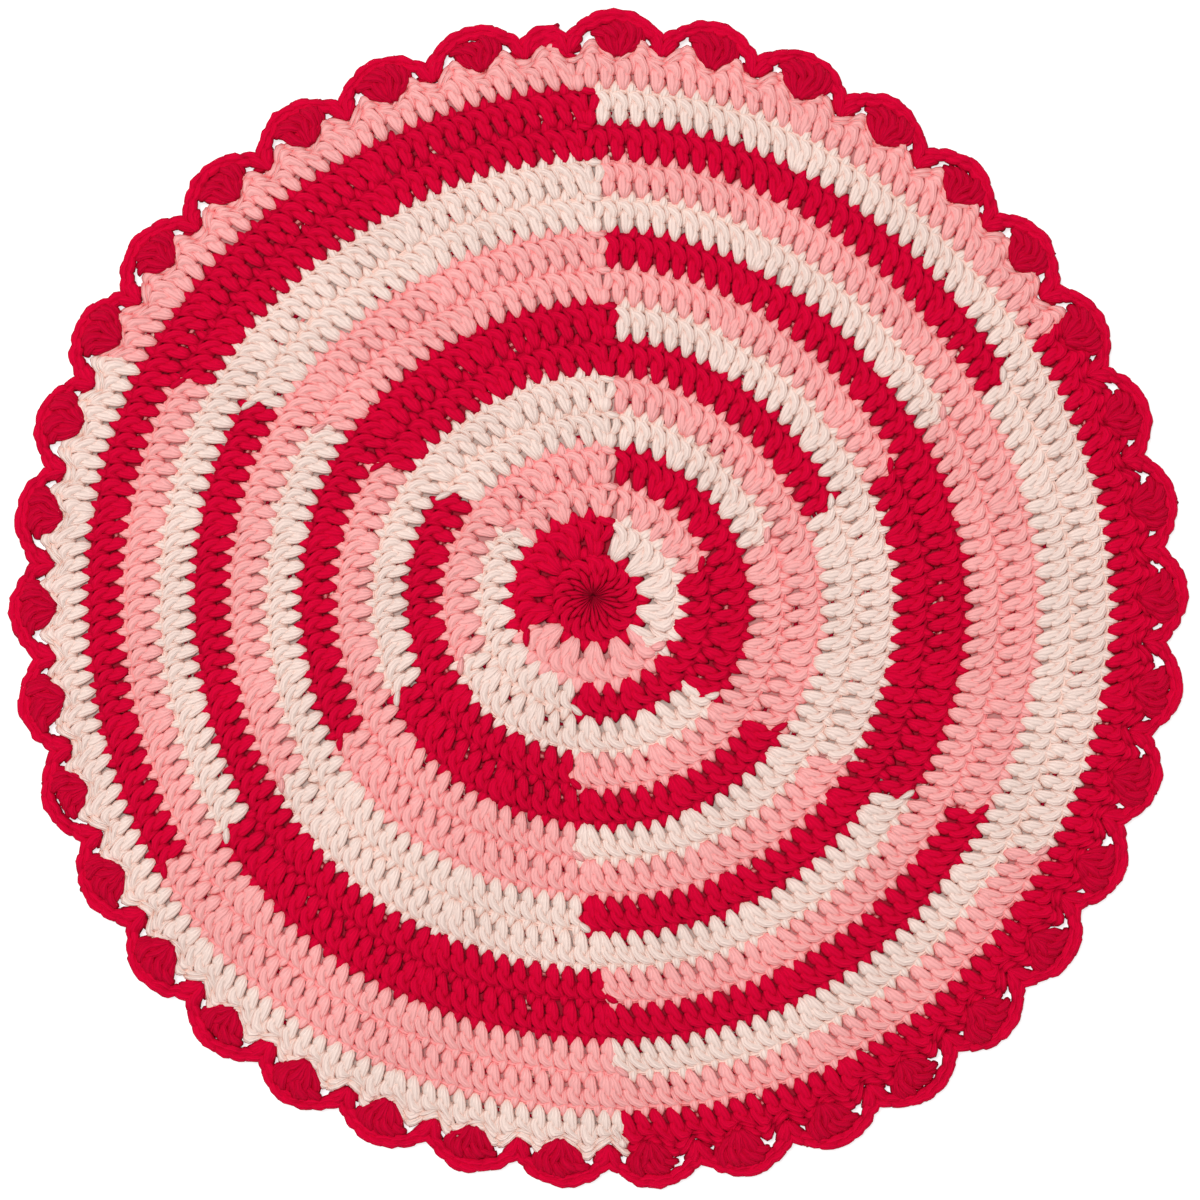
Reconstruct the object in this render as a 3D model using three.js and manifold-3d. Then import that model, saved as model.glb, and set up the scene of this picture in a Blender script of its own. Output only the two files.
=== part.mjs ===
// Round crochet placemat, about 38 cm across: fifteen rounds of double crochet worked outwards from a magic
// ring, and a scallop edging worked into the last of them. It is hooked in one piece, with nothing cut, sewn
// or fitted, so it is one flat solid. Sizes are millimetres and angles are degrees, clockwise from +Y as seen
// from above. The underside lies on z = 0, and the origin is under the middle of the outline.

import * as THREE from "three";
import { mergeVertices } from "three/addons/utils/BufferGeometryUtils.js";
import Module from "manifold-3d";

// Rounds of double crochet. A round's section runs inwards from its thick chain, over the groove behind the
// chain, to the belly of its posts, which start on the chain of the round before.
const ROUNDS = 15;
const ROUND_PITCH = 11.5;
const ROUND_SECTION = [
  { place: "chain", offset: 3, height: 5.2 },
  { place: "groove", offset: 0.6, height: 3.5 },
  { place: "posts", offset: -3, height: 4.3 },
];
const MAGIC_RING_HEIGHT = 3;
const INNERMOST_CORNERS = 12;
const CORNERS_ADDED_EACH_ROUND = 4;

// Scallop edging: an arch of chain stitches over each bobble, tied down by a knot on both sides of it. The
// small scallop that closes the round is only an arch, and as much lower as it is narrower.
const FULL_SCALLOPS = 37;
const CLOSING_SCALLOP_SHARE = 0.47;
const FIRST_KNOT_AROUND = -3.4;
const TIP_RADIUS = 190;
const KNOT_RADIUS = 182.9;
const ARCH_WIDTH = 4.3;
const ARCH_HEIGHT = 4.2;
const ARCH_FOOT_HEIGHT = 3.2;
const BOBBLE_MEAN_HEIGHT = 4;
const BOBBLE_LIFT = 1.2;
const UNDERSIDE_SETBACK = 1;
const CORNERS_PER_SCALLOP = 8;

// The last round's chain bends in at each knot and bobble, and stands out between them
const LAST_CHAIN_RADIUS = 177.3;
const LAST_CHAIN_WAVE = 1.9;
const LAST_CHAIN_HEIGHT = 3.4;

// See-through gap on both sides of a bobble, as corners in shares of a scallop's width
const SIDE_GAP = [
  { along: 0.13, radius: 179.5 },
  { along: 0.26, radius: 179.5 },
  { along: 0.21, radius: 182.8 },
];
const CUT_BELOW = 1;
const CUT_HEIGHT = 8;

// Hand work is never quite round: the magic ring is off the middle, and the rim swells and draws in
const MAGIC_RING = new THREE.Vector2(-2.8, 2.1);
const RIM_CENTRE = new THREE.Vector2(-0.7, -1.8);
const UNEVEN_RIM = [
  { lobes: 2, swell: 0.95, peak: 136 },
  { lobes: 3, swell: 1.05, peak: 5 },
  { lobes: 5, swell: 1.05, peak: 9 },
];

const RED_COTTON = new THREE.MeshStandardMaterial({ color: 0xd50030, roughness: 0.95, metalness: 0 });

const MERGE_DISTANCE = 1e-4;
const SCALLOP_ARC = 360 / (FULL_SCALLOPS + CLOSING_SCALLOP_SHARE);

// Where a corner of the even mat lies on the real, slightly uneven one
function spot(around, radius, height) {
  const share = radius / TIP_RADIUS;
  let unevenRadius = radius;
  for (const { lobes, swell, peak } of UNEVEN_RIM) {
    const turn = THREE.MathUtils.degToRad(lobes * (around - peak));
    unevenRadius += swell * share * Math.cos(turn);
  }
  const centre = MAGIC_RING.clone().lerp(RIM_CENTRE, Math.sqrt(share));
  const angle = THREE.MathUtils.degToRad(around);
  const x = centre.x + unevenRadius * Math.sin(angle);
  const y = centre.y + unevenRadius * Math.cos(angle);
  return new THREE.Vector3(x, y, height);
}

// The scallops in the order they are worked: each starts at a knot
function scallops() {
  const list = [];
  for (let k = 0; k <= FULL_SCALLOPS; k += 1) {
    const full = k < FULL_SCALLOPS;
    list.push({
      start: FIRST_KNOT_AROUND + k * SCALLOP_ARC,
      share: full ? 1 : CLOSING_SCALLOP_SHARE,
      full,
    });
  }
  return list;
}

// Corners of the edging in one section across it, from the underside out to the rim and back over the arch
// and the bobble to the last round. along runs from 0 at one knot to 1 at the next.
function edgingSection(along, share) {
  const rise = (TIP_RADIUS - KNOT_RADIUS) * share * Math.sin(Math.PI * along);
  const rim = KNOT_RADIUS + rise;
  const lift = Math.cos(4 * Math.PI * along);
  const arch = rim - ARCH_WIDTH;
  const chain = LAST_CHAIN_RADIUS - LAST_CHAIN_WAVE * lift;
  return [
    { radius: rim - UNDERSIDE_SETBACK, height: 0 },
    { radius: rim, height: ARCH_HEIGHT / 2 },
    { radius: rim - ARCH_WIDTH / 2, height: ARCH_HEIGHT },
    { radius: arch, height: ARCH_FOOT_HEIGHT },
    { radius: (arch + chain) / 2, height: BOBBLE_MEAN_HEIGHT + BOBBLE_LIFT * lift },
    { radius: chain, height: LAST_CHAIN_HEIGHT },
  ];
}

// The edging as rows of corners, each row once round the mat
function edgingRows() {
  const rows = [];
  for (const { start, share } of scallops()) {
    const corners = Math.round(CORNERS_PER_SCALLOP * share);
    for (let i = 0; i < corners; i += 1) {
      const along = i / corners;
      const around = start + along * share * SCALLOP_ARC;
      edgingSection(along, share).forEach(({ radius, height }, row) => {
        rows[row] ??= [];
        rows[row].push({ around, point: spot(around, radius, height) });
      });
    }
  }
  return rows;
}

// One even row of corners
function roundRow(corners, radius, height) {
  const row = [];
  for (let i = 0; i < corners; i += 1) {
    const around = FIRST_KNOT_AROUND + (i * 360) / corners;
    row.push({ around, point: spot(around, radius, height) });
  }
  return row;
}

// The rounds as rows, from the last one's chain in to the first one's posts
function roundRows() {
  const rows = [];
  for (let round = ROUNDS; round >= 1; round -= 1) {
    const corners = INNERMOST_CORNERS + CORNERS_ADDED_EACH_ROUND * round;
    for (const { offset, height } of ROUND_SECTION) {
      rows.push(roundRow(corners, round * ROUND_PITCH + offset, height));
    }
  }
  return rows;
}

function centreRow(height) {
  return [{ around: FIRST_KNOT_AROUND, point: spot(FIRST_KNOT_AROUND, 0, height) }];
}

// Joins two neighbouring rows with triangles, stepping on along whichever row is behind
function joinRows(from, to, corners) {
  const next = (row, i) => (i + 1 < row.length ? row[i + 1].around : row[0].around + 360);
  let i = 0;
  let j = 0;
  while ((from.length > 1 && i < from.length) || (to.length > 1 && j < to.length)) {
    const here = from[i % from.length].point;
    const there = to[j % to.length].point;
    const fromWaits = from.length === 1 || i === from.length;
    const toWaits = to.length === 1 || j === to.length;
    const stepFrom = toWaits || (!fromWaits && next(from, i) <= next(to, j));
    if (stepFrom) {
      i += 1;
      corners.push(here, there, from[i % from.length].point);
    } else {
      j += 1;
      corners.push(here, there, to[j % to.length].point);
    }
  }
}

// The closed mat before its gaps are cut: underside, edging, rounds and centre
function matGeometry() {
  const rows = [centreRow(0), ...edgingRows(), ...roundRows(), centreRow(MAGIC_RING_HEIGHT)];
  const corners = [];
  for (let i = 0; i + 1 < rows.length; i += 1) {
    joinRows(rows[i], rows[i + 1], corners);
  }
  return new THREE.BufferGeometry().setFromPoints(corners);
}

// A three-cornered plug through the mat, mirrored for the gap after the bobble
function gapGeometry(start, mirrored) {
  const outline = SIDE_GAP.map(({ along, radius }) => {
    const share = mirrored ? 1 - along : along;
    const { x, y } = spot(start + share * SCALLOP_ARC, radius, 0);
    return new THREE.Vector2(x, y);
  });
  const plug = new THREE.ExtrudeGeometry(new THREE.Shape(outline), {
    depth: CUT_HEIGHT,
    bevelEnabled: false,
  });
  return plug.translate(0, 0, -CUT_BELOW);
}

const wasm = await Module();
wasm.setup();

function solidOf(geometry) {
  const bare = geometry.clone().deleteAttribute("normal").deleteAttribute("uv");
  const merged = mergeVertices(bare, MERGE_DISTANCE);
  const mesh = new wasm.Mesh({
    numProp: 3,
    vertProperties: merged.attributes.position.array,
    triVerts: new Uint32Array(merged.index.array),
  });
  return new wasm.Manifold(mesh);
}

function geometryOf(solid) {
  const { vertProperties, triVerts } = solid.getMesh();
  const geometry = new THREE.BufferGeometry();
  geometry.setAttribute("position", new THREE.BufferAttribute(vertProperties, 3));
  geometry.setIndex(new THREE.BufferAttribute(triVerts, 1));
  geometry.computeVertexNormals();
  return geometry;
}

function placemat() {
  const plugs = scallops()
    .filter(({ full }) => full)
    .flatMap(({ start }) => [gapGeometry(start, false), gapGeometry(start, true)])
    .map(solidOf);
  const gaps = plugs.reduce((joined, plug) => joined.add(plug));
  const solid = solidOf(matGeometry()).subtract(gaps);
  const mesh = new THREE.Mesh(geometryOf(solid), RED_COTTON);
  mesh.name = "placemat";
  return mesh;
}

const group = new THREE.Group();
group.add(placemat());

export default group;
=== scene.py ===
# Round crochet placemat, built up as it is hooked: a magic ring, fifteen rounds of double crochet in three
# colours of cotton, and a scallop edging. It is in metres with +Z up, and angles are degrees clockwise from
# +Y as seen from above.
import math
from collections import namedtuple
from itertools import product

import bpy
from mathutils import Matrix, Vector


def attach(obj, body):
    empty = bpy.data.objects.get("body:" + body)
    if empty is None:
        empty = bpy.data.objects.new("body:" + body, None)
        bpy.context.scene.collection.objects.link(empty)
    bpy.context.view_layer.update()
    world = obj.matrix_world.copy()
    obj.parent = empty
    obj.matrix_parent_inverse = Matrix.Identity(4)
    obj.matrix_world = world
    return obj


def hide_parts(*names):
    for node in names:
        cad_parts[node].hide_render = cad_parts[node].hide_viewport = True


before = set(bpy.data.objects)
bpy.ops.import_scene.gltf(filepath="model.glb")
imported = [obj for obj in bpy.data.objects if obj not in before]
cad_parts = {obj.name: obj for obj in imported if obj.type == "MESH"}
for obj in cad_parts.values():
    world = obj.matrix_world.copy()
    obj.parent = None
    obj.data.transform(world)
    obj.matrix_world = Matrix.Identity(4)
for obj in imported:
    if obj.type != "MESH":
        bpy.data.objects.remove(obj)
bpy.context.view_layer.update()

# The yarn. Three balls of the same soft spun cotton, cream, pink and red, about 2.4 mm thick. A strand is
# thin plies with a slight twist, and its loose fibres take the light dully. Between the strands each colour
# is painted deeper and darker, as painted shade where the light has passed through more of the same yarn,
# and the grooves between the plies are painted darker, as painted shade too.
PLIES = 10
TWISTS_PER_METRE = 60
PLY_WANDER = 6.0
PLY_SHADE = 0.045
PLY_RELIEF = 0.32
FIBRES_AROUND = 2
FIBRES_PER_METRE = 300
FIBRE_SCALE = 1.6
FIBRE_DETAIL = 4.0
FIBRE_SHADE = 0.5
FIBRE_RELIEF = 2.0
RELIEF_DEPTH = 0.00035
RELIEF_STRENGTH = 0.7
TONE_SHADE = 0.02
COTTON_ROUGHNESS = 0.92
COTTON_GLOSS = 0.08

# Heights between which the yarn goes from its darker painted shade colour to its full one, on the top and on
# the underside
TOP_PAINTED_SHADE = 0.0022
TOP_UNSHADED = 0.0050
UNDERSIDE_PAINTED_SHADE = 0.0018
UNDERSIDE_UNSHADED = 0.0010
Cotton = namedtuple("Cotton", "slot colour deep")
COTTONS = {
    "C": Cotton("cream_cotton", (0.94, 0.735, 0.66), (0.98, 0.57, 0.45)),
    "P": Cotton("pink_cotton", (0.99, 0.445, 0.43), (0.97, 0.12, 0.14)),
    "R": Cotton("red_cotton", (0.69, 0.0, 0.035), (0.08, 0.0, 0.004)),
}


class Wire:
    """One output of a node, so that sums on it read as plain Python."""

    def __init__(self, bench, socket):
        self.bench = bench
        self.socket = socket

    def maths(self, operation, other=None):
        return self.bench.add("ShaderNodeMath", {"operation": operation}, [self, other])[0]

    def __add__(self, other):
        return self.maths("ADD", other)

    __radd__ = __add__

    def __sub__(self, other):
        return self.maths("SUBTRACT", other)

    def __rsub__(self, other):
        return self * -1 + other

    def __mul__(self, other):
        return self.maths("MULTIPLY", other)

    __rmul__ = __mul__

    def __truediv__(self, other):
        return self.maths("DIVIDE", other)

    def __rtruediv__(self, other):
        return self.maths("POWER", -1.0) * other


class Bench:
    """A node tree while it is being put together."""

    def __init__(self, tree):
        self.tree = tree

    def add(self, kind, settings=None, inputs=()):
        """Adds a node: first its settings, then its sockets by place or by name. Returns its outputs."""
        made = self.tree.nodes.new(kind)
        for setting, value in (settings or {}).items():
            setattr(made, setting, value)
        for socket, value in inputs.items() if isinstance(inputs, dict) else enumerate(inputs):
            if isinstance(value, Wire):
                self.tree.links.new(value.socket, made.inputs[socket])
            elif value is not None:
                made.inputs[socket].default_value = value
        return [Wire(self, socket) for socket in made.outputs if socket.enabled]

    def mix(self, share, first, second):
        """Mixes two colours of three numbers each."""
        inputs = {0: share, 6: first + (1.0,), 7: second + (1.0,)}
        return self.add("ShaderNodeMix", {"data_type": "RGBA"}, inputs)[0]

    def scale(self, colour, share):
        """Multiplies a colour or a vector by a number."""
        return self.add("ShaderNodeVectorMath", {"operation": "SCALE"}, {0: colour, "Scale": share})[0]

    def finish(self, shader, **inputs):
        """Sets the sockets of the surface shader."""
        for socket, value in inputs.items():
            socket = shader.inputs[socket.replace("_", " ")]
            if isinstance(value, Wire):
                self.tree.links.new(value.socket, socket)
            else:
                socket.default_value = value


def new_material(name):
    """A material, with its node tree on the bench and its surface shader."""
    material = bpy.data.materials.new(name)
    material.use_nodes = True
    return material, Bench(material.node_tree), material.node_tree.nodes["Principled BSDF"]


def spun_cotton(cotton):
    """The finish of a strand: twisted plies with fine fibres, and painted shade, a deeper and darker colour
    further in.
    """
    material, bench, shader = new_material(cotton.slot)
    strand = bench.add("ShaderNodeUVMap", {"uv_map": "strand"})[0]
    turn, along, _ = bench.add("ShaderNodeSeparateXYZ", {}, [strand])
    turn = turn * (2 * math.pi)
    across = turn.maths("SINE") * FIBRES_AROUND
    upward = turn.maths("COSINE") * FIBRES_AROUND
    place = bench.add("ShaderNodeCombineXYZ", {}, [across, upward, along * FIBRES_PER_METRE])[0]
    fine = {"Vector": place, "Scale": FIBRE_SCALE, "Detail": FIBRE_DETAIL}
    fibres = bench.add("ShaderNodeTexNoise", {}, fine)[0]
    wandering = turn * PLIES + along * (2 * math.pi * TWISTS_PER_METRE) + fibres * PLY_WANDER
    ply = wandering.maths("SINE")
    # Each stitch's own tone, and on the edging painted light on the arches and painted shade on the bobbles
    tone = bench.add("ShaderNodeAttribute", {"attribute_name": "tone"})[2]
    spot = bench.add("ShaderNodeTexCoord")[3]
    height = bench.add("ShaderNodeSeparateXYZ", {}, [spot])[2]
    # Painted shade: between these heights the yarn's colour goes from darker and deeper to its full one
    above = (height - TOP_PAINTED_SHADE) / (TOP_UNSHADED - TOP_PAINTED_SHADE)
    below = (UNDERSIDE_PAINTED_SHADE - height) / (UNDERSIDE_PAINTED_SHADE - UNDERSIDE_UNSHADED)
    unshaded_share = above.maths("MAXIMUM", below).maths("MAXIMUM", 0.0).maths("MINIMUM", 1.0)
    yarn_colour = bench.mix(unshaded_share, cotton.deep, cotton.colour)
    # The ply term paints shade into the grooves between the plies and light onto their crests; the fibre
    # term is the yarn's own mottled tone, and the stitch term its own tone, with painted light and shade on
    # the edging
    shade = 1 - FIBRE_SHADE / 2 + ply * PLY_SHADE + fibres * FIBRE_SHADE + tone * TONE_SHADE
    colour = bench.scale(yarn_colour, shade)
    relief = ply * PLY_RELIEF + fibres * FIBRE_RELIEF
    rough = {"Strength": RELIEF_STRENGTH, "Distance": RELIEF_DEPTH, "Height": relief}
    bump = bench.add("ShaderNodeBump", {}, rough)[0]
    bench.finish(
        shader,
        Base_Color=colour,
        Normal=bump,
        Roughness=COTTON_ROUGHNESS,
        Specular_IOR_Level=COTTON_GLOSS,
    )
    return material


YARN = {letter: spun_cotton(cotton) for letter, cotton in COTTONS.items()}

# The rounds. Each stitch is a double crochet, hooked under the chain of the round before: two legs out of
# one hole, the wrap that falls over them from the upper left, a slim loop beside it, and a chain link that
# the next round straddles. Each round adds 14 stitches, so 14 pairs in it share a hole.
ROUND_PITCH = 0.0115
ROUND_START = -0.0016
STITCH_WIDTH = 0.0051
STITCH_FOOT = -0.0073
STITCHES_ADDED = 14

# How far a stitch's top lies behind its foot, how far its foot is moved on, and how far each of two stitches
# in one hole stands from its middle, all in stitch widths
LEAN = 0.38
FOOT_LEAD = -0.07
PAIR_SPREAD = 0.19

# The strands of a stitch, with their bends in millimetres from the middle of its place
MM = 0.001
Bend = namedtuple("Bend", "across outward height radius")
Strand = namedtuple("Strand", "rings sides bends")

LEFT_LEG = Strand(7, 7, [
    Bend(0.5, -6.4, 2.4, 0.5),
    Bend(0.5, -7.0, 3.1, 0.6),
    Bend(0.35, -6.2, 3.7, 1.1),
    Bend(0.1, -4.8, 3.95, 1.65),
    Bend(-0.05, -3.0, 4.0, 1.9),
    Bend(-0.35, -1.1, 3.9, 1.7),
    Bend(-0.6, 0.9, 3.5, 1.0),
])
RIGHT_LEG = Strand(6, 6, [
    Bend(0.55, -6.4, 2.4, 0.5),
    Bend(0.6, -6.9, 3.1, 0.6),
    Bend(0.8, -6.0, 3.7, 1.1),
    Bend(1.05, -4.7, 3.95, 1.65),
    Bend(1.25, -3.1, 3.9, 1.8),
    Bend(1.4, -1.7, 3.4, 1.2),
])
WRAP = Strand(7, 7, [
    Bend(-2.7, 2.8, 2.9, 0.9),
    Bend(-1.7, 3.0, 3.5, 1.35),
    Bend(-0.3, 2.5, 4.0, 1.65),
    Bend(0.9, 1.4, 4.25, 1.7),
    Bend(1.5, 0.0, 4.3, 1.6),
    Bend(1.6, -1.3, 4.1, 1.3),
    Bend(1.3, -2.6, 3.5, 0.7),
])
SLIM_LOOP = Strand(5, 5, [
    Bend(1.4, 4.2, 2.8, 0.6),
    Bend(2.7, 3.6, 3.7, 1.1),
    Bend(3.3, 1.9, 4.0, 1.2),
    Bend(3.4, 0.0, 3.8, 1.05),
    Bend(3.0, -1.8, 3.2, 0.6),
])
CHAIN_LINK_ON_TOP = Strand(3, 5, [
    Bend(-2.9, 3.8, 2.8, 1.3),
    Bend(-1.0, 4.0, 3.1, 1.4),
    Bend(1.0, 4.2, 3.1, 1.4),
    Bend(2.9, 4.1, 2.8, 1.3),
])
POST_BEHIND = Strand(4, 4, [
    Bend(-0.1, -6.4, 2.2, 0.5),
    Bend(0.3, -3.5, 1.45, 1.05),
    Bend(0.9, 0.5, 1.45, 1.0),
    Bend(1.0, 3.4, 2.1, 0.5),
])
BAR_BEHIND = Strand(3, 4, [
    Bend(-2.8, 2.9, 1.9, 0.5),
    Bend(-0.9, 3.7, 1.4, 1.0),
    Bend(0.9, 4.3, 1.4, 1.0),
    Bend(2.8, 5.1, 1.9, 0.5),
])
DOUBLE_CROCHET = {
    "left_leg": LEFT_LEG,
    "right_leg": RIGHT_LEG,
    "wrap": WRAP,
    "slim_loop": SLIM_LOOP,
    "chain_link": CHAIN_LINK_ON_TOP,
    "post_behind": POST_BEHIND,
    "bar_behind": BAR_BEHIND,
}


def between(a, b, c, d, t):
    """A number on the smooth curve through four, a share t of the way from the second to the third."""
    square = 2 * a - 5 * b + 4 * c - d
    cube = 3 * b - a - 3 * c + d
    return 0.5 * (2 * b + (c - a) * t + square * t**2 + cube * t**3)


def smooth_bends(bends, rings):
    """Even steps on a curve through a strand's bends."""
    steps = []
    for ring in range(rings):
        place = ring / (rings - 1) * (len(bends) - 1)
        i = min(int(place), len(bends) - 2)
        near = [bends[max(min(j, len(bends) - 1), 0)] for j in (i - 1, i, i + 1, i + 2)]
        steps.append([between(a, b, c, d, place - i) for a, b, c, d in zip(*near)])
    return steps


def strand_mesh(name, strand):
    """A closed tube with the strand's swelling, with the way round it and the way along it as its UV."""
    corners, faces, uvs = [], [], []
    steps = smooth_bends(strand.bends, strand.rings)
    middles = [Vector(step[:3]) * MM for step in steps]
    lengths = [0.0]
    for before, after in zip(middles, middles[1:]):
        lengths.append(lengths[-1] + (after - before).length)
    for ring, middle in enumerate(middles):
        onward = middles[min(ring + 1, strand.rings - 1)] - middles[max(ring - 1, 0)]
        side = onward.cross(Vector((0, 0, 1))).normalized()
        up = side.cross(onward).normalized()
        for k in range(strand.sides):
            turn = 2 * math.pi * k / strand.sides
            outward = math.cos(turn) * side + math.sin(turn) * up
            corners.append(middle + outward * steps[ring][3] * MM)
    for ring in range(strand.rings - 1):
        for k in range(strand.sides):
            a = ring * strand.sides + k
            b = ring * strand.sides + (k + 1) % strand.sides
            faces.append((a, b, b + strand.sides, a + strand.sides))
            left, right = k / strand.sides, (k + 1) / strand.sides
            near, far = lengths[ring], lengths[ring + 1]
            uvs += [(left, near), (right, near), (right, far), (left, far)]
    last = (strand.rings - 1) * strand.sides
    faces.append(range(strand.sides)[::-1])
    faces.append(range(last, last + strand.sides))
    uvs += [(0.0, lengths[0])] * strand.sides + [(0.0, lengths[-1])] * strand.sides
    mesh = bpy.data.meshes.new(name)
    mesh.from_pydata(corners, [], faces)
    layer = mesh.uv_layers.new(name="strand")
    for loop, uv in zip(layer.data, uvs):
        loop.uv = uv
    return mesh


def strand_shapes(name, strands):
    """The strands of one kind of stitch, kept together so that they are worked together."""
    shapes = bpy.data.collections.new(name)
    for part, strand in strands.items():
        shapes.objects.link(bpy.data.objects.new(part, strand_mesh(part, strand)))
    return shapes


# Hand work is never quite round: the magic ring is off the middle, and the rim swells and draws in
RIM_RADIUS = 0.190
RING_PLACE = (-0.0028, 0.0021)
RIM_PLACE = (-0.0007, -0.0018)
SETTLING = 0.2
Swell = namedtuple("Swell", "lobes height peak")
SWELLS = [Swell(2, 0.00095, 136), Swell(3, 0.00105, 5), Swell(5, 0.00105, 9)]


def uneven_hand_tree():
    """Moves the corners of an even, centred mat to where they lie on the real one."""
    tree = bpy.data.node_groups.new("uneven hand", "GeometryNodeTree")
    tree.interface.new_socket(name="Even", in_out="INPUT", socket_type="NodeSocketGeometry")
    rim = tree.interface.new_socket(name="Rim radius", in_out="INPUT", socket_type="NodeSocketFloat")
    rim.default_value = RIM_RADIUS
    tree.interface.new_socket(name="Uneven", in_out="OUTPUT", socket_type="NodeSocketGeometry")
    bench = Bench(tree)
    even, rim_radius = bench.add("NodeGroupInput")[:2]
    x, y, z = bench.add("ShaderNodeSeparateXYZ", {}, [bench.add("GeometryNodeInputPosition")[0]])
    radius = (x * x + y * y).maths("SQRT")
    angle = x.maths("ARCTAN2", y)
    share = radius / rim_radius
    uneven = radius
    for swell in SWELLS:
        turn = (angle - math.radians(swell.peak)) * swell.lobes
        uneven = uneven + turn.maths("COSINE") * share * swell.height
    drift = share.maths("POWER", SETTLING)
    x = uneven * angle.maths("SINE") + drift * (RIM_PLACE[0] - RING_PLACE[0]) + RING_PLACE[0]
    y = uneven * angle.maths("COSINE") + drift * (RIM_PLACE[1] - RING_PLACE[1]) + RING_PLACE[1]
    place = bench.add("ShaderNodeCombineXYZ", {}, [x, y, z])[0]
    moved = bench.add("GeometryNodeSetPosition", {}, {"Geometry": even, "Position": place})[0]
    bench.add("NodeGroupOutput", {}, [moved])
    return tree


UNEVEN_HAND = uneven_hand_tree()

# The last round's top edge bends in at each knot and bobble of the edging, twice a scallop. The scallops
# drift by up to a degree from even spacing, as they were hooked a little wider on one half of the mat.
FULL_SCALLOPS = 37
CLOSING_SCALLOP_SHARE = 0.47
FIRST_KNOT_AROUND = -3.4
SCALLOP_ARC = 360 / (FULL_SCALLOPS + CLOSING_SCALLOP_SHARE)
EDGE_WAVE = 0.0023
SPACING_DRIFT = 1.15
DRIFT_PEAK = 70

# Up to where a stitch leans as it climbs, how late in it the wave of the edge sets in, and how lumpy the
# strands are
CLIMB_END = 1.35
WAVE_ONSET = 3.0
ROUND_LUMPS = 0.0005


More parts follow.
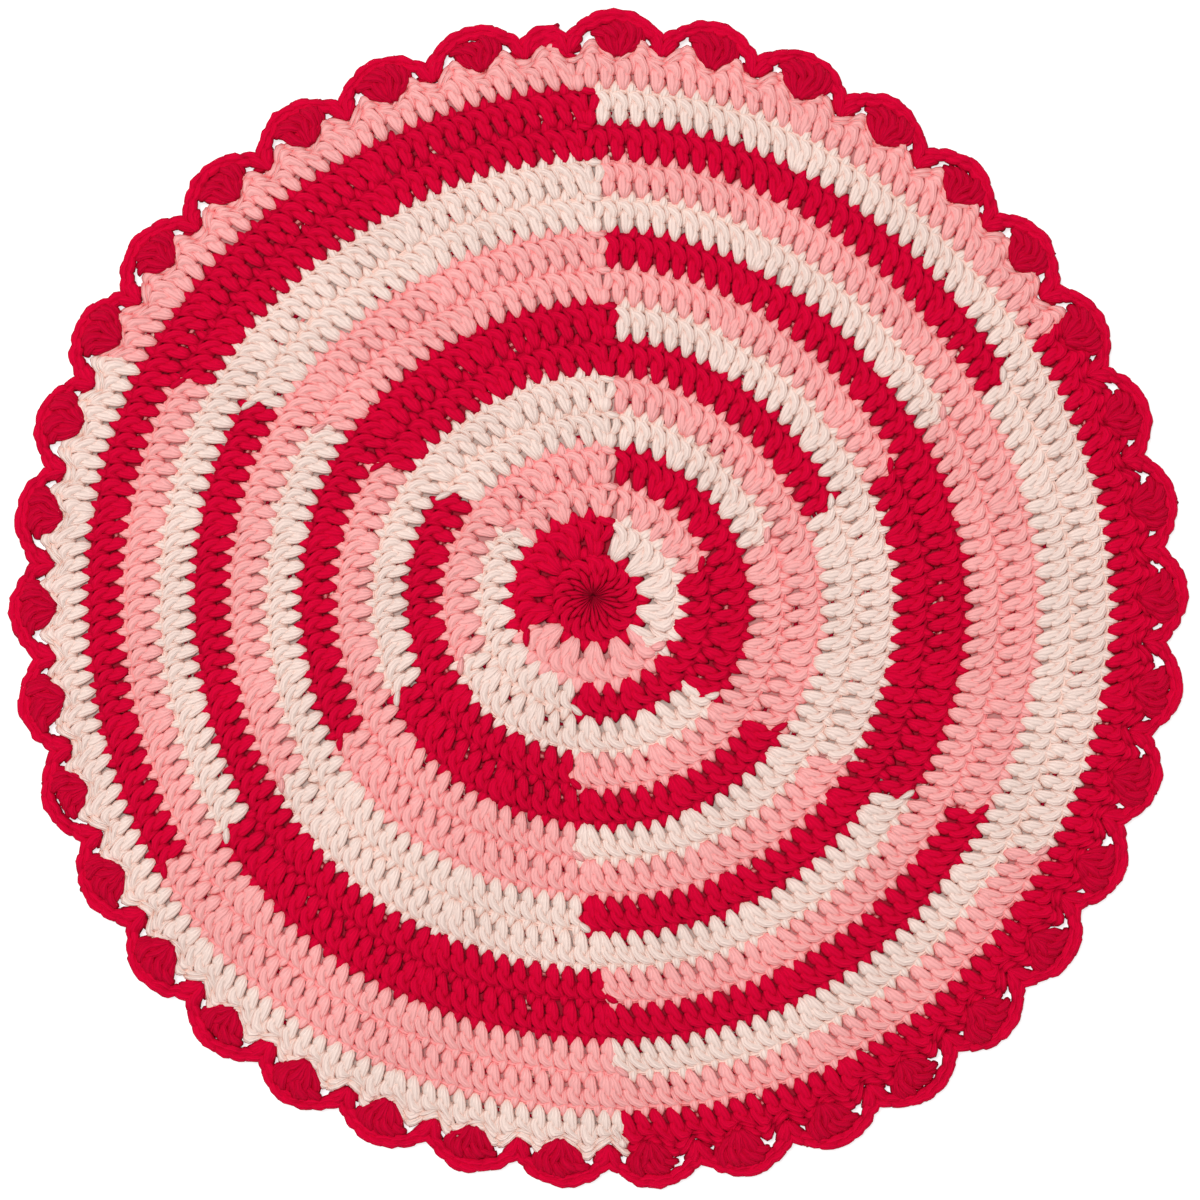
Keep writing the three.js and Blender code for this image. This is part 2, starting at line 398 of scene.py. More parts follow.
def worked_round_tree():
    """Works one copy of a stitch's strands at each place of a chart, bent to the round it belongs to."""
    tree = bpy.data.node_groups.new("worked round", "GeometryNodeTree")
    for label, kind, start in (
        ("Chart", "Geometry", None),
        ("Strands", "Collection", None),
        ("Yarn", "Material", None),
        ("Round pitch", "Float", ROUND_PITCH),
        ("Stitch width", "Float", STITCH_WIDTH),
        ("Stitch foot", "Float", STITCH_FOOT),
        ("Slack", "Float", 0.0002),
        ("Loose turn", "Float", 4.0),
        ("Loose size", "Float", 0.05),
        ("Lumps", "Float", ROUND_LUMPS),
        ("Lump size", "Float", 0.0035),
        ("Seed", "Int", 7),
    ):
        socket = tree.interface.new_socket(name=label, in_out="INPUT", socket_type="NodeSocket" + kind)
        if start is not None:
            socket.default_value = start
    tree.interface.new_socket(name="Worked", in_out="OUTPUT", socket_type="NodeSocketGeometry")
    bench = Bench(tree)
    given = bench.add("NodeGroupInput")
    chart, strands, yarn, pitch, width, foot = given[:6]
    slack, loose_turn, loose_size, lumps, lump_size, seed = given[6:12]
    spread = {"Min": (-1, -1, -1), "Max": (1, 1, 1), "Seed": seed}
    loose = bench.add("FunctionNodeRandomValue", {"data_type": "FLOAT_VECTOR"}, spread)[0]
    keep = {"Geometry": chart, "Name": "loose", "Value": loose}
    chart = bench.add("GeometryNodeStoreNamedAttribute", {"data_type": "FLOAT_VECTOR"}, keep)[0]
    stitch = bench.add("GeometryNodeCollectionInfo", {}, {"Collection": strands})[0]
    copies = bench.add("GeometryNodeInstanceOnPoints", {}, {"Points": chart, "Instance": stitch})[0]
    work = bench.add("GeometryNodeRealizeInstances", {}, {"Geometry": copies})[0]

    def column(name, kind="FLOAT"):
        return bench.add("GeometryNodeInputNamedAttribute", {"data_type": kind}, {"Name": name})[0]

    loose = bench.add("ShaderNodeSeparateXYZ", {}, [column("loose", "FLOAT_VECTOR")])
    place = bench.add("GeometryNodeInputPosition")[0]
    across, outward, height = bench.add("ShaderNodeSeparateXYZ", {}, [place])
    size = column("size") * (loose[0] * loose_size + 1)
    turn = (column("turn") + loose[1] * loose_turn) * math.radians(1)
    cosine, sine = turn.maths("COSINE"), turn.maths("SINE")
    turned_across = (across * cosine + outward * sine) * size
    outward = (outward * cosine - across * sine) * size
    climb = ((outward - foot) / pitch).maths("MAXIMUM", 0.0).maths("MINIMUM", CLIMB_END)
    near_foot = (1 - climb).maths("MAXIMUM", 0.0)
    edge = climb.maths("MINIMUM", 1.0).maths("POWER", WAVE_ONSET)
    middle = column("foot_around") + (column("top_around") - column("foot_around")) * climb
    sideways = (turned_across + loose[2] * slack) / width
    around = middle + sideways * column("arc")
    drift = ((around - DRIFT_PEAK) * math.radians(1)).maths("COSINE") * SPACING_DRIFT
    beat = ((around - drift - FIRST_KNOT_AROUND) * (4 * math.pi / SCALLOP_ARC)).maths("COSINE")
    radius = column("radius") + outward + loose[0] * slack - beat * column("wave") * edge
    angle = around * math.radians(1)
    x, y = radius * angle.maths("SINE"), radius * angle.maths("COSINE")
    z = height * column("size") + column("lift") + loose[1] * slack * near_foot
    place = bench.add("ShaderNodeCombineXYZ", {}, [x, y, z])[0]
    work = bench.add("GeometryNodeSetPosition", {}, {"Geometry": work, "Position": place})[0]
    here = bench.add("GeometryNodeInputPosition")[0]
    fine = {"Vector": here, "Scale": 1 / lump_size, "Detail": 1.0}
    swelling = bench.add("ShaderNodeTexNoise", {}, fine)[1]
    noise_mean = (0.5, 0.5, 0.5)
    swelling = bench.add("ShaderNodeVectorMath", {"operation": "SUBTRACT"}, [swelling, noise_mean])[0]
    swelling = bench.scale(swelling, lumps * 2)
    work = bench.add("GeometryNodeSetPosition", {}, {"Geometry": work, "Offset": swelling})[0]
    work = bench.add("GeometryNodeGroup", {"node_tree": UNEVEN_HAND}, [work])[0]
    work = bench.add("GeometryNodeSetShadeSmooth", {}, [work])[0]
    work = bench.add("GeometryNodeSetMaterial", {}, {"Geometry": work, "Material": yarn})[0]
    bench.add("NodeGroupOutput", {}, [work])
    return tree


WORKED_ROUND = worked_round_tree()
Stitch = namedtuple(
    "Stitch",
    "radius foot_around top_around arc wave turn size lift tone",
    defaults=(0.0, 0.0, 1.0, 0.0, 0.0),
)


def new_object(name, data):
    """An object in the scene."""
    made = bpy.data.objects.new(name, data)
    bpy.context.scene.collection.objects.link(made)
    return made


def plain_mesh(piece):
    """Turns a piece's modifiers into its mesh, which keeps only what its finish reads."""
    depsgraph = bpy.context.evaluated_depsgraph_get()
    done = bpy.data.meshes.new_from_object(
        piece.evaluated_get(depsgraph), preserve_all_data_layers=True, depsgraph=depsgraph
    )
    done.name = piece.name
    piece.modifiers.clear()
    piece.data = done
    for column in Stitch._fields + ("loose",):
        if column != "tone" and column in done.attributes:
            done.attributes.remove(done.attributes[column])


def work(name, jobs, letter, lumps=ROUND_LUMPS):
    """Makes one finished piece of a yarn, more or less lumpy. A job is strand shapes and their chart."""
    meshes = []
    for shapes, chart in jobs:
        points = bpy.data.meshes.new(name)
        points.from_pydata([(0, 0, 0)] * len(chart), [], [])
        for column in Stitch._fields:
            values = points.attributes.new(column, "FLOAT", "POINT").data
            values.foreach_set("value", [getattr(stitch, column) for stitch in chart])
        piece = new_object(name, points)
        modifier = piece.modifiers.new("worked round", "NODES")
        modifier.node_group = WORKED_ROUND
        ids = {i.name: i.identifier for i in WORKED_ROUND.interface.items_tree if i.in_out == "INPUT"}
        modifier[ids["Strands"]] = shapes
        modifier[ids["Yarn"]] = YARN[letter]
        modifier[ids["Lumps"]] = lumps
        plain_mesh(piece)
        meshes.append(piece)
    if len(meshes) > 1:
        with bpy.context.temp_override(active_object=meshes[0], selected_editable_objects=meshes):
            bpy.ops.object.join()
    piece = meshes[0]
    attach(piece, "root")
    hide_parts("placemat")
    return piece


# The colours of each round, from the seam clockwise: where its first stitch stands, and its blocks of
# stitches. The second round's stitches all share holes, and are larger to fill it.
Round = namedtuple("Round", "seam blocks")
ROUNDS = {
    1: Round(18.0, "R14"),
    2: Round(15.7, "C9 P9 R10"),
    3: Round(12.6, "P7 R14 C14 P7"),
    4: Round(8.7, "R19 C18 P19"),
    5: Round(8.2, "C12 P23 R23 C12"),
    6: Round(5.4, "P28 R28 C28"),
    7: Round(5.2, "R17 C32 P32 R17"),
    8: Round(4.1, "C37 P37 R38"),
    9: Round(2.9, "P22 R41 C42 P21"),
    10: Round(1.6, "R47 C46 P47"),
    11: Round(1.0, "C26 P50 R52 C26"),
    12: Round(0.8, "P55 R56 C57"),
    13: Round(-0.3, "R31 C59 P61 R31"),
    14: Round(0.1, "C65 P65 R66"),
    15: Round(-1.3, "P35 R69 C70 P36"),
}
LAST_ROUND = max(ROUNDS)
SECOND_ROUND_SIZE = 1.12
TONE_STEP_ALONG = 12.9898
TONE_STEP_OUTWARD = 78.233


def yarns_of(number):
    """The yarn of every stitch of a round, in order from the seam. The last one is the starting chain."""
    return "".join(block[0] * int(block[1:]) for block in ROUNDS[number].blocks.split())


def place_in_round(number, i):
    """A stitch's place. The last two stitches of each group share the hole that they start in."""
    arc = 360 / (STITCHES_ADDED * number)
    group, step = divmod(i, number)
    first_top = ROUNDS[number].seam + (group * number + 0.5 - LEAN / 2) * arc
    foot = step + LEAN
    if number > 1:
        foot = (min(step, number - 2) + 0.5) * number / (number - 1) - 0.5 + FOOT_LEAD
        foot += {number - 2: -PAIR_SPREAD, number - 1: PAIR_SPREAD}.get(step, 0.0)
    return Stitch(
        radius=number * ROUND_PITCH + ROUND_START,
        foot_around=first_top + foot * arc,
        top_around=first_top + step * arc,
        arc=arc,
        wave=EDGE_WAVE if number == LAST_ROUND else 0.0,
        size=SECOND_ROUND_SIZE if number == 2 else 1.0,
        tone=math.sin(TONE_STEP_ALONG * i + TONE_STEP_OUTWARD * number),
    )


def round_chart(letter, numbers):
    """The places of all double crochets of one yarn in these rounds."""
    return [
        place_in_round(number, i)
        for number in numbers
        for i, yarn in enumerate(yarns_of(number)[:-1])
        if yarn == letter
    ]


double_crochet = strand_shapes("double_crochet", DOUBLE_CROCHET)
INNER_ROUNDS = range(2, 10)
OUTER_ROUNDS = range(10, LAST_ROUND)

# The magic ring. The first round's fourteen red stitches start at a loop that is pulled shut in the middle,
# so their legs are longer than the others, and close the centre.
RING_LEFT_LEG = Strand(8, 6, [
    Bend(-0.1, -9.6, 2.9, 0.7),
    Bend(-0.3, -8.4, 3.3, 1.0),
    Bend(-0.5, -6.2, 3.6, 1.2),
    Bend(-0.7, -4.0, 4.0, 1.4),
    Bend(-0.85, -2.0, 4.1, 1.4),
    Bend(-0.95, -0.7, 3.9, 1.1),
    Bend(-1.0, 0.3, 3.4, 0.55),
])
RING_RIGHT_LEG = Strand(7, 6, [
    Bend(1.5, -9.6, 2.8, 0.7),
    Bend(1.7, -8.2, 3.2, 1.0),
    Bend(1.9, -6.2, 3.5, 1.15),
    Bend(2.1, -4.3, 3.9, 1.3),
    Bend(2.4, -3.0, 3.8, 1.1),
    Bend(2.6, -2.0, 3.4, 0.6),
])
RING_STITCH = dict(DOUBLE_CROCHET, left_leg=RING_LEFT_LEG, right_leg=RING_RIGHT_LEG)
magic_ring = strand_shapes("magic_ring", RING_STITCH)

# The starting chains. A round starts with three chains that stand in for its last stitch, and is closed with
# a slip stitch, so a column of small plaited loops climbs the seam in the yarn that the round ended with.
SEAM_CHAIN = {
    "first_chain": Strand(6, 8, [
        Bend(0.9, -7.0, 2.8, 0.7),
        Bend(0.9, -6.1, 3.7, 1.6),
        Bend(0.9, -4.9, 4.0, 2.2),
        Bend(0.7, -3.4, 4.0, 2.1),
        Bend(0.4, -2.2, 3.4, 1.2),
    ]),
    "left_chain": Strand(6, 7, [
        Bend(0.1, -2.9, 3.0, 0.7),
        Bend(-0.7, -1.7, 4.0, 1.3),
        Bend(-1.3, 0.1, 4.3, 1.6),
        Bend(-1.4, 1.8, 4.1, 1.4),
        Bend(-0.9, 3.1, 3.3, 0.8),
    ]),
    "right_chain": Strand(6, 7, [
        Bend(0.6, -2.8, 3.0, 0.7),
        Bend(1.5, -1.5, 3.9, 1.4),
        Bend(2.2, 0.2, 4.2, 1.7),
        Bend(2.1, 1.8, 4.0, 1.5),
        Bend(1.4, 3.0, 3.3, 0.8),
    ]),
    "joining_loop": Strand(5, 6, [
        Bend(-2.2, 4.6, 2.8, 0.8),
        Bend(-0.7, 4.0, 4.0, 1.4),
        Bend(1.1, 3.7, 4.1, 1.4),
        Bend(2.9, 3.9, 2.8, 0.8),
    ]),
    "chain_link": CHAIN_LINK_ON_TOP,
    "post_behind": POST_BEHIND,
}
seam_chain = strand_shapes("seam_chain", SEAM_CHAIN)


def seam_chart(letter):
    """The starting chains of the rounds that end in one yarn."""
    return [
        place_in_round(number, len(yarns_of(number)) - 1)
        for number in ROUNDS
        if yarns_of(number)[-1] == letter
    ]


# The last round's top, in all three colours. No further round covers it, so it is lower than the others, and
# both strands of its chain links lie open along the edge.
LAST_STITCH = dict(
    DOUBLE_CROCHET,
    wrap=Strand(8, 7, [
        Bend(-2.7, 1.8, 2.9, 0.9),
        Bend(-1.7, 2.2, 3.6, 1.35),
        Bend(-0.3, 2.0, 4.1, 1.65),
        Bend(0.9, 1.0, 4.3, 1.7),
        Bend(1.5, -0.2, 4.3, 1.6),
        Bend(1.6, -1.4, 4.1, 1.3),
        Bend(1.3, -2.6, 3.5, 0.7),
    ]),
    slim_loop=Strand(6, 5, [
        Bend(1.6, 3.2, 3.0, 0.6),
        Bend(2.7, 2.5, 3.7, 1.05),
        Bend(3.3, 1.2, 4.0, 1.1),
        Bend(3.4, -0.4, 3.8, 1.0),
        Bend(3.0, -1.9, 3.2, 0.6),
    ]),
    chain_link=Strand(7, 6, [
        Bend(-2.6, 2.6, 2.4, 0.6),
        Bend(-1.0, 3.4, 3.7, 1.2),
        Bend(0.8, 3.9, 4.0, 1.35),
        Bend(2.4, 3.8, 3.5, 1.1),
        Bend(3.8, 3.3, 2.4, 0.6),
    ]),
    open_link=Strand(7, 6, [
        Bend(-3.4, 4.1, 2.0, 0.6),
        Bend(-1.8, 5.1, 3.4, 1.25),
        Bend(0.0, 5.7, 3.8, 1.55),
        Bend(1.8, 5.8, 3.4, 1.3),
        Bend(3.6, 5.2, 2.0, 0.6),
    ]),
    bar_behind=Strand(4, 4, [
        Bend(-2.8, 3.4, 1.9, 0.6),
        Bend(-0.9, 4.0, 1.5, 1.1),
        Bend(0.9, 4.3, 1.5, 1.1),
        Bend(2.8, 4.3, 1.9, 0.6),
    ]),
)
last_stitch = strand_shapes("last_stitch", LAST_STITCH)

# The peaks of the chain. Each chain link is pulled up between two stitches of the next round, and stands
# there as a small point in the colour of its own round. Two stitches in one hole have none between them.
CHAIN_PEAK = {
    "peak": Strand(5, 5, [
        Bend(0.1, 7.7, 3.0, 0.35),
        Bend(0.05, 6.7, 3.4, 1.0),
        Bend(0.0, 5.7, 3.7, 1.5),
        Bend(-0.1, 4.6, 3.7, 1.8),
        Bend(0.0, 3.1, 2.9, 1.2),
    ]),
}
chain_peak = strand_shapes("chain_peak", CHAIN_PEAK)


def peak_chart(letter, numbers):
    """The peaks of one yarn's chain links, halfway between two stitches of the round above."""
    chart = []
    for number in numbers:
        arc = 360 / (STITCHES_ADDED * number)
        yarns = yarns_of(number)
        above = number + 1
        feet = [place_in_round(above, i).foot_around for i in range(STITCHES_ADDED * above)]
        for i, foot in enumerate(feet[:-1]):
            middle = (foot + feet[i + 1]) / 2
            j = round((middle - place_in_round(number, 0).top_around) / arc)
            if i % above != above - 2 and yarns[j % len(yarns)] == letter:
                stitch = place_in_round(number, j)
                chart.append(stitch._replace(foot_around=middle, top_around=middle))
    return chart


# The loops at a change of colour. The new yarn's first loop stands up beside its first stitch, and leans
# back over the last stitch of the old yarn.
CHANGE_LOOP = {
    "change_loop": Strand(7, 6, [
        Bend(-5.0, 4.3, 4.0, 0.5),
        Bend(-4.2, 3.9, 5.3, 1.0),
        Bend(-2.9, 3.1, 5.7, 1.15),
        Bend(-1.6, 2.0, 4.8, 0.7),
    ]),
}
change_loop = strand_shapes("change_loop", CHANGE_LOOP)


def change_chart(letter, numbers):
    """The first stitch of each block of one colour, apart from the one at the seam."""
    chart = []
    for number in numbers:
        yarns = yarns_of(number)
        chart += [
            place_in_round(number, i)
            for i in range(1, len(yarns))
            if yarns[i] == letter and yarns[i - 1] != letter
        ]
    return chart


# The loose yarn end. Where the last round changes from red to cream, the cream yarn is tied off in a small
# knot on top of the stitches, with a short tail.
YARN_END = {
    "end_knot": Strand(6, 8, [
        Bend(0.1, -1.2, 5.0, 0.6),
        Bend(0.0, -0.6, 5.6, 1.25),
        Bend(0.0, 0.0, 5.8, 1.4),
        Bend(0.0, 0.6, 5.6, 1.25),
        Bend(0.1, 1.2, 5.0, 0.6),
    ]),
    "tail": Strand(6, 6, [
        Bend(0.2, -0.9, 5.5, 0.4),
        Bend(0.7, -2.2, 5.9, 0.6),
        Bend(1.5, -3.5, 5.7, 0.7),
        Bend(2.6, -4.8, 4.6, 0.6),
    ]),
}
yarn_end = strand_shapes("yarn_end", YARN_END)
END_RADIUS = 0.1744
END_AROUND = 177.4
END_PLACE = place_in_round(LAST_ROUND, 0)._replace(
    radius=END_RADIUS,
    foot_around=END_AROUND,
    top_around=END_AROUND,
)

for letter, cotton in COTTONS.items():
    inner = [
        (double_crochet, round_chart(letter, INNER_ROUNDS)),
        (seam_chain, seam_chart(letter)),
        (chain_peak, peak_chart(letter, (1, *INNER_ROUNDS))),
        (change_loop, change_chart(letter, INNER_ROUNDS)),
    ]
    if letter == "R":
        inner.append((magic_ring, [place_in_round(1, i) for i in range(STITCHES_ADDED)]))
    outer = [
        (double_crochet, round_chart(letter, OUTER_ROUNDS)),
        (chain_peak, peak_chart(letter, OUTER_ROUNDS)),
        (last_stitch, round_chart(letter, [LAST_ROUND])),
        (change_loop, change_chart(letter, OUTER_ROUNDS)),
    ]
    if letter == "C":
        outer.append((yarn_end, [END_PLACE]))
    work("inner_" + cotton.slot, inner, letter)
    work("outer_" + cotton.slot, outer, letter)

# The carried yarns. The two colours that aren't in use lie inside the stitches, on the chain of the round
# before, and show here and there as specks between the legs.
CARRIED = {
    "carried": Strand(3, 4, [
        Bend(-2.8, 0.0, 2.1, 0.7),
        Bend(0.0, 0.2, 2.2, 0.8),
        Bend(2.8, 0.0, 2.1, 0.7),
    ]),
}
FIRST_CARRIED_ROUND = 3
CARRIED_OUT = (-0.0050, -0.0030)
CARRIED_LIFT = 0.0009
CARRIED_BEAT = 1.7
CARRIED_SHOWS_ABOVE = 0.75
carried = strand_shapes("carried", CARRIED)
for letter, cotton in COTTONS.items():
    chart = []
    for number in range(FIRST_CARRIED_ROUND, LAST_ROUND + 1):
        for i, yarn in enumerate(yarns_of(number)):
            idle = [other for other in COTTONS if other != yarn]
            if letter in idle:
                stitch = place_in_round(number, i)
                radius = stitch.radius + CARRIED_OUT[idle.index(letter)]
                shows = math.sin(CARRIED_BEAT * i * i + number) > CARRIED_SHOWS_ABOVE
                lift = CARRIED_LIFT if shows else 0.0
                chart.append(stitch._replace(radius=radius, wave=0.0, lift=lift))
    work("carried_" + cotton.slot, [(carried, chart)], letter)

# The scallop edging, worked last in red: an arch of chain stitches over a bobble of five legs that fan out
# of one hole, tied down to the last round by a knot on both sides. A small arch without a bobble closes it.
EDGE_RADIUS = 0.180
SCALLOP_WIDTH = 0.031
EDGE_ARC = SCALLOP_ARC * STITCH_WIDTH / SCALLOP_WIDTH
EDGING_LUMPS = 0.0009

# The arches, from knot to knot. The closing one is worked tightly, and lies doubled. The arches are painted
# a little lighter, as painted light.
ARCH_OUT = -0.0004
ARCH_LIFT = 0.0009
ARCH_RISE = 0.0077
ARCH_FULLNESS = 0.85
ARCH_LINKS = 7
ARCH_LINK_SIZE = 0.94
ARCH_TOP_SWELLS = 0.04
ARCH_PAINTED_LIGHT = 2.0
ARCH_TONE_STEP = 9.1
CLOSING_ARCH_LINKS = 4
CLOSING_ARCH_INSETS = (0.0, 0.0026)
ARCH_LINK = {
    "outer_strand": Strand(8, 7, [
        Bend(-4.6, -0.2, 1.9, 0.8),
        Bend(-2.5, 0.8, 2.7, 1.4),
        Bend(0.0, 1.1, 3.0, 1.55),
        Bend(2.5, 0.7, 2.7, 1.4),
        Bend(4.6, -0.4, 1.9, 0.7),
    ]),
    "inner_strand": Strand(8, 7, [
        Bend(-2.2, 0.1, 1.9, 0.8),
        Bend(-0.1, -0.9, 2.7, 1.35),
        Bend(2.4, -1.2, 3.0, 1.55),
        Bend(4.9, -0.8, 2.7, 1.4),
        Bend(7.0, 0.3, 1.9, 0.7),
    ]),
    "back_strand": Strand(4, 6, [
        Bend(-3.2, -0.4, 2.1, 1.6),
        Bend(-1.0, -0.4, 2.1, 1.7),
        Bend(1.0, -0.4, 2.1, 1.7),
        Bend(3.2, -0.4, 2.1, 1.6),
    ]),
}
KNOT_LIFT = 0.0006
KNOT = {
    "filling": Strand(5, 6, [
        Bend(-4.6, -2.3, 2.0, 1.2),
        Bend(-2.2, -2.6, 2.3, 1.7),
        Bend(0.0, -2.8, 2.5, 1.9),
        Bend(2.2, -2.6, 2.3, 1.7),
        Bend(4.6, -2.3, 2.0, 1.2),
    ]),
    "left_outer": Strand(7, 7, [
        Bend(-3.8, 2.4, 2.2, 1.0),
        Bend(-2.5, 1.4, 3.4, 1.45),
        Bend(-1.4, -0.5, 4.0, 1.5),
        Bend(-0.7, -2.6, 4.3, 1.35),
        Bend(-0.1, -4.5, 3.8, 0.7),
    ]),
    "left_inner": Strand(6, 6, [
        Bend(-4.1, 1.7, 2.0, 1.0),
        Bend(-3.0, 0.4, 3.0, 1.4),
        Bend(-2.0, -1.4, 3.7, 1.6),
        Bend(-0.9, -3.6, 3.5, 0.9),
    ]),
    "right_outer": Strand(7, 7, [
        Bend(3.8, 2.2, 2.2, 1.0),
        Bend(2.5, 1.3, 3.3, 1.45),
        Bend(1.3, -0.4, 3.9, 1.5),
        Bend(0.7, -2.6, 4.1, 1.3),
        Bend(0.2, -4.6, 3.7, 0.7),
    ]),
    "right_inner": Strand(6, 6, [
        Bend(4.8, 1.0, 2.0, 1.1),
        Bend(3.5, 0.2, 3.0, 1.6),
        Bend(2.3, -1.5, 3.6, 1.6),
        Bend(1.0, -3.7, 3.4, 0.9),
    ]),
}
BOBBLE_LEG = {
    "left_strand": Strand(7, 6, [
        Bend(-0.2, 0.0, 4.2, 0.8),
        Bend(-0.8, 1.7, 4.9, 1.1),
        Bend(-1.2, 4.0, 4.9, 1.4),
        Bend(-1.2, 6.4, 4.5, 1.5),
        Bend(-0.9, 8.8, 3.4, 1.1),
    ]),
    "right_strand": Strand(6, 6, [
        Bend(0.2, 0.0, 4.2, 0.8),
        Bend(0.8, 1.6, 4.9, 1.1),
        Bend(1.2, 3.7, 4.8, 1.4),
        Bend(1.5, 5.6, 4.1, 1.0),
    ]),
    "wrap": Strand(8, 6, [
        Bend(1.5, 3.7, 3.8, 0.6),
        Bend(1.6, 5.5, 4.7, 1.2),
        Bend(1.0, 7.5, 5.0, 1.5),
        Bend(-0.4, 9.2, 4.6, 1.6),
        Bend(-2.0, 10.2, 3.3, 1.1),
    ]),
    "slim_wrap": Strand(6, 5, [
        Bend(2.8, 5.5, 3.4, 0.7),
        Bend(2.6, 7.3, 4.2, 1.1),
        Bend(1.6, 9.2, 4.2, 1.3),
        Bend(0.2, 10.5, 3.4, 1.1),
    ]),
    "filling": Strand(4, 6, [
        Bend(0.2, 1.0, 2.6, 1.2),
        Bend(0.2, 4.0, 2.6, 2.0),
        Bend(0.2, 7.0, 2.6, 2.4),
        Bend(0.2, 9.8, 2.2, 1.9),
    ]),
}

# The five legs of a bobble, in millimetres and degrees, and how much the bobbles differ from one another
Leg = namedtuple("Leg", "across out turn size lift")
BOBBLE = [
    Leg(0.0, -4.6, -38, 1.0, 0.0),
    Leg(0.8, -5.4, -20, 1.04, 0.6),
    Leg(1.4, -5.6, -3, 1.04, 0.1),
    Leg(1.9, -5.4, 19, 1.04, 0.7),
    Leg(2.6, -4.6, 35, 0.99, 0.0),
]
BOBBLE_VARIES = 0.05
BOBBLE_SIZE_STEP = 2.4
# The bobbles are painted darker than the arches over them, as painted shade, and differ a little in tone
# from one another
BOBBLE_PAINTED_SHADE = -7.0
BOBBLE_TONE_STEP = 3.7


def on_edging(around, out, **more):
    """A place on the edging, so far out from the edge of the rounds."""
    return Stitch(EDGE_RADIUS + out, around, around, EDGE_ARC, **more)


def scallop_starts():
    """Where each scallop starts and its share of a full one; the last is the closing one."""
    starts = []
    for k in range(FULL_SCALLOPS + 1):
        even = FIRST_KNOT_AROUND + k * SCALLOP_ARC
        drift = SPACING_DRIFT * math.cos(math.radians(even - DRIFT_PEAK))
        starts.append((even + drift, 1 if k < FULL_SCALLOPS else CLOSING_SCALLOP_SHARE))
    return starts


def arch_chart():
    """The chain links of all arches, each turned along its arch."""
    chart = []
    for start, share in scallop_starts():
        links = ARCH_LINKS if share == 1 else CLOSING_ARCH_LINKS
        insets = (0.0,) if share == 1 else CLOSING_ARCH_INSETS
        for i, inset in product(range(links), insets):
            along = (i + 0.5) / links
            sine = math.sin(math.pi * along)
            rise = ARCH_RISE * share * sine**ARCH_FULLNESS
            steepness = ARCH_FULLNESS * sine ** (ARCH_FULLNESS - 1) * math.cos(math.pi * along)
            slope = math.atan(ARCH_RISE * math.pi / SCALLOP_WIDTH * steepness)
            chart.append(
                on_edging(
                    start + along * share * SCALLOP_ARC,
                    ARCH_OUT + rise - inset,
                    turn=-math.degrees(slope),
                    size=ARCH_LINK_SIZE + ARCH_TOP_SWELLS * sine,
                    lift=ARCH_LIFT,
                    tone=ARCH_PAINTED_LIGHT + math.sin(ARCH_TONE_STEP * i + start),
                )
            )
    return chart


def bobble_chart():
    """The legs of all bobbles. The closing scallop has none."""
    chart = []
    for start, share in scallop_starts():
        if share < 1:
            continue
        middle = start + 0.5 * SCALLOP_ARC
        fullness = 1 + BOBBLE_VARIES * math.sin(BOBBLE_SIZE_STEP * start)
        for leg in BOBBLE:
            chart.append(
                on_edging(
                    middle + leg.across * MM / SCALLOP_WIDTH * SCALLOP_ARC,
                    leg.out * MM,
                    turn=leg.turn,
                    size=leg.size * fullness,
                    lift=leg.lift * MM,
                    tone=BOBBLE_PAINTED_SHADE + math.sin(leg.turn + BOBBLE_TONE_STEP * start),
                )
            )
    return chart


knot_chart = [on_edging(start, 0.0, lift=KNOT_LIFT) for start, _ in scallop_starts()]
edging_jobs = [
    (strand_shapes("arch_link", ARCH_LINK), arch_chart()),
    (strand_shapes("knot", KNOT), knot_chart),
    (strand_shapes("bobble_leg", BOBBLE_LEG), bobble_chart()),
]
edging = work("edging_red_cotton", edging_jobs, "R", lumps=EDGING_LUMPS)

# The ground. What is left between the strands is more of the same yarns, packed flat, so a thin round cloth
# in the colours of the chart closes the mat behind the stitches. Its colours are darkened to half, as
# painted shade, since it shows only in the shade between the strands.
GROUND_BOTTOM = 0.0019
GROUND_THICKNESS = 0.0012
GROUND_RADIUS = 0.1750
GROUND_STEPS = 210
GROUND_SHADE = 0.5
GROUND_ROUGHNESS = 0.95
CHAIN_OUT = 0.0042
ground_mesh = bpy.data.meshes.new("ground_cloth")
corners = []
for number in ROUNDS:
    radius = min(number * ROUND_PITCH + ROUND_START + CHAIN_OUT, GROUND_RADIUS)
    for k in range(GROUND_STEPS):
        angle = 2 * math.pi * k / GROUND_STEPS
        corners.append((radius * math.sin(angle), radius * math.cos(angle), GROUND_BOTTOM))
faces = [range(GROUND_STEPS)[::-1]]
for row in range(LAST_ROUND - 1):
    for k in range(GROUND_STEPS):
        a = row * GROUND_STEPS + k
        b = row * GROUND_STEPS + (k + 1) % GROUND_STEPS
        faces.append((a, a + GROUND_STEPS, b + GROUND_STEPS, b))
ground_mesh.from_pydata(corners, [], faces)
ground = new_object("ground_cloth", ground_mesh)
shades = ground_mesh.color_attributes.new("yarn", "FLOAT_COLOR", "CORNER")
for face in ground_mesh.polygons:
    number = 2 + (face.index - 1) // GROUND_STEPS
    middle = Vector((0, 0, 0))
    for corner in face.vertices:
        middle += ground_mesh.vertices[corner].co
    around = math.degrees(math.atan2(middle.x, middle.y))
    yarns = yarns_of(number)
    i = int((around - ROUNDS[number].seam) % 360 / 360 * len(yarns))
    for loop in face.loop_indices:
        shades.data[loop].color = COTTONS[yarns[i]].colour + (1.0,)
hand = ground.modifiers.new("uneven hand", "NODES")
hand.node_group = UNEVEN_HAND
thick = ground.modifiers.new("thick", "SOLIDIFY")
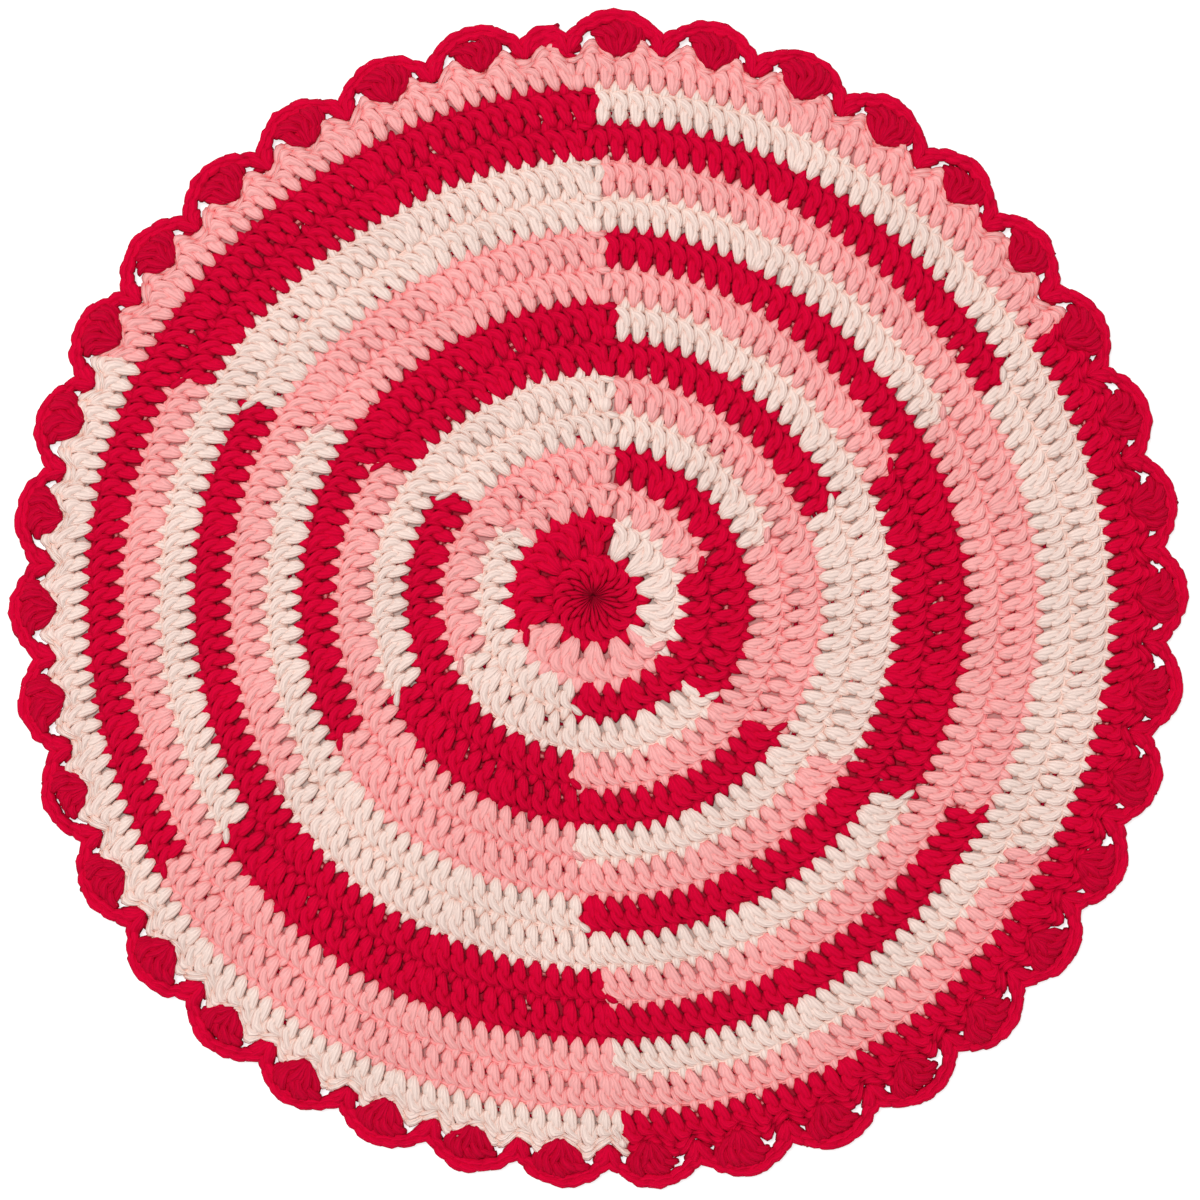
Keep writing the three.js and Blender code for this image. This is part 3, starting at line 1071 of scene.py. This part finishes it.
thick.thickness = GROUND_THICKNESS
thick.offset = -1.0
plain_mesh(ground)
packed_cotton, bench, shader = new_material("packed_cotton")
yarn_colour = bench.add("ShaderNodeAttribute", {"attribute_name": "yarn"})[0]
# Painted shade: the cloth's yarn colours at half brightness
deep = bench.scale(yarn_colour, GROUND_SHADE)
bench.finish(shader, Base_Color=deep, Roughness=GROUND_ROUGHNESS)
ground.data.materials.clear()
ground.data.materials.append(packed_cotton)
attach(ground, "root")
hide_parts("placemat")

# The table, which isn't part of the mat: a plain pale sheet, lit softly from all round with a little more
# light from the upper left, and seen from straight above with a long lens.
FLOOR_REACH = 15
FLOOR_GREY = (0.55, 0.55, 0.55, 1)
FLOOR_GLOW = 0.7
FLOOR_ROUGHNESS = 0.9
WHITE = (1, 1, 1, 1)
floor_mesh = bpy.data.meshes.new("floor")
floor_corners = [(x * FLOOR_REACH, y * FLOOR_REACH, 0) for x, y in ((-1, -1), (1, -1), (1, 1), (-1, 1))]
floor_mesh.from_pydata(floor_corners, [], [(0, 1, 2, 3)])
floor = new_object("floor", floor_mesh)
pale, bench, shader = new_material("pale_floor")
bench.finish(shader, Base_Color=FLOOR_GREY, Roughness=FLOOR_ROUGHNESS)
bench.finish(shader, Emission_Color=WHITE, Emission_Strength=FLOOR_GLOW)
floor_mesh.materials.append(pale)

ROOM_LIGHT = 0.46
world = bpy.data.worlds.new("studio")
world.use_nodes = True
room = world.node_tree.nodes["Background"]
room.inputs["Color"].default_value = WHITE
room.inputs["Strength"].default_value = ROOM_LIGHT
bpy.context.scene.world = world

LAMP_SIZE = 0.7
LAMP_POWER = 22.5
LAMP_PLACE = (-0.35, 0.35, 1.8)
LAMP_TILT = math.radians(-11)
lamp_data = bpy.data.lights.new("soft_lamp", "AREA")
lamp_data.shape = "DISK"
lamp_data.size = LAMP_SIZE
lamp_data.energy = LAMP_POWER
lamp = new_object("soft_lamp", lamp_data)
lamp.location = LAMP_PLACE
lamp.rotation_euler = (LAMP_TILT, LAMP_TILT, 0)

PHOTO_SIDE_PX = 1200
METRES_PER_PIXEL = 0.0003226
LENS_MM = 110
SENSOR_MM = 36
CAMERA_X = 0.00013
CAMERA_Y = -0.00039
camera_data = bpy.data.cameras.new("camera")
camera_data.lens = LENS_MM
camera_data.sensor_width = SENSOR_MM
camera = new_object("camera", camera_data)
camera.location = (CAMERA_X, CAMERA_Y, PHOTO_SIDE_PX * METRES_PER_PIXEL * LENS_MM / SENSOR_MM)
bpy.context.scene.camera = camera
bpy.context.scene.view_settings.view_transform = "Standard"
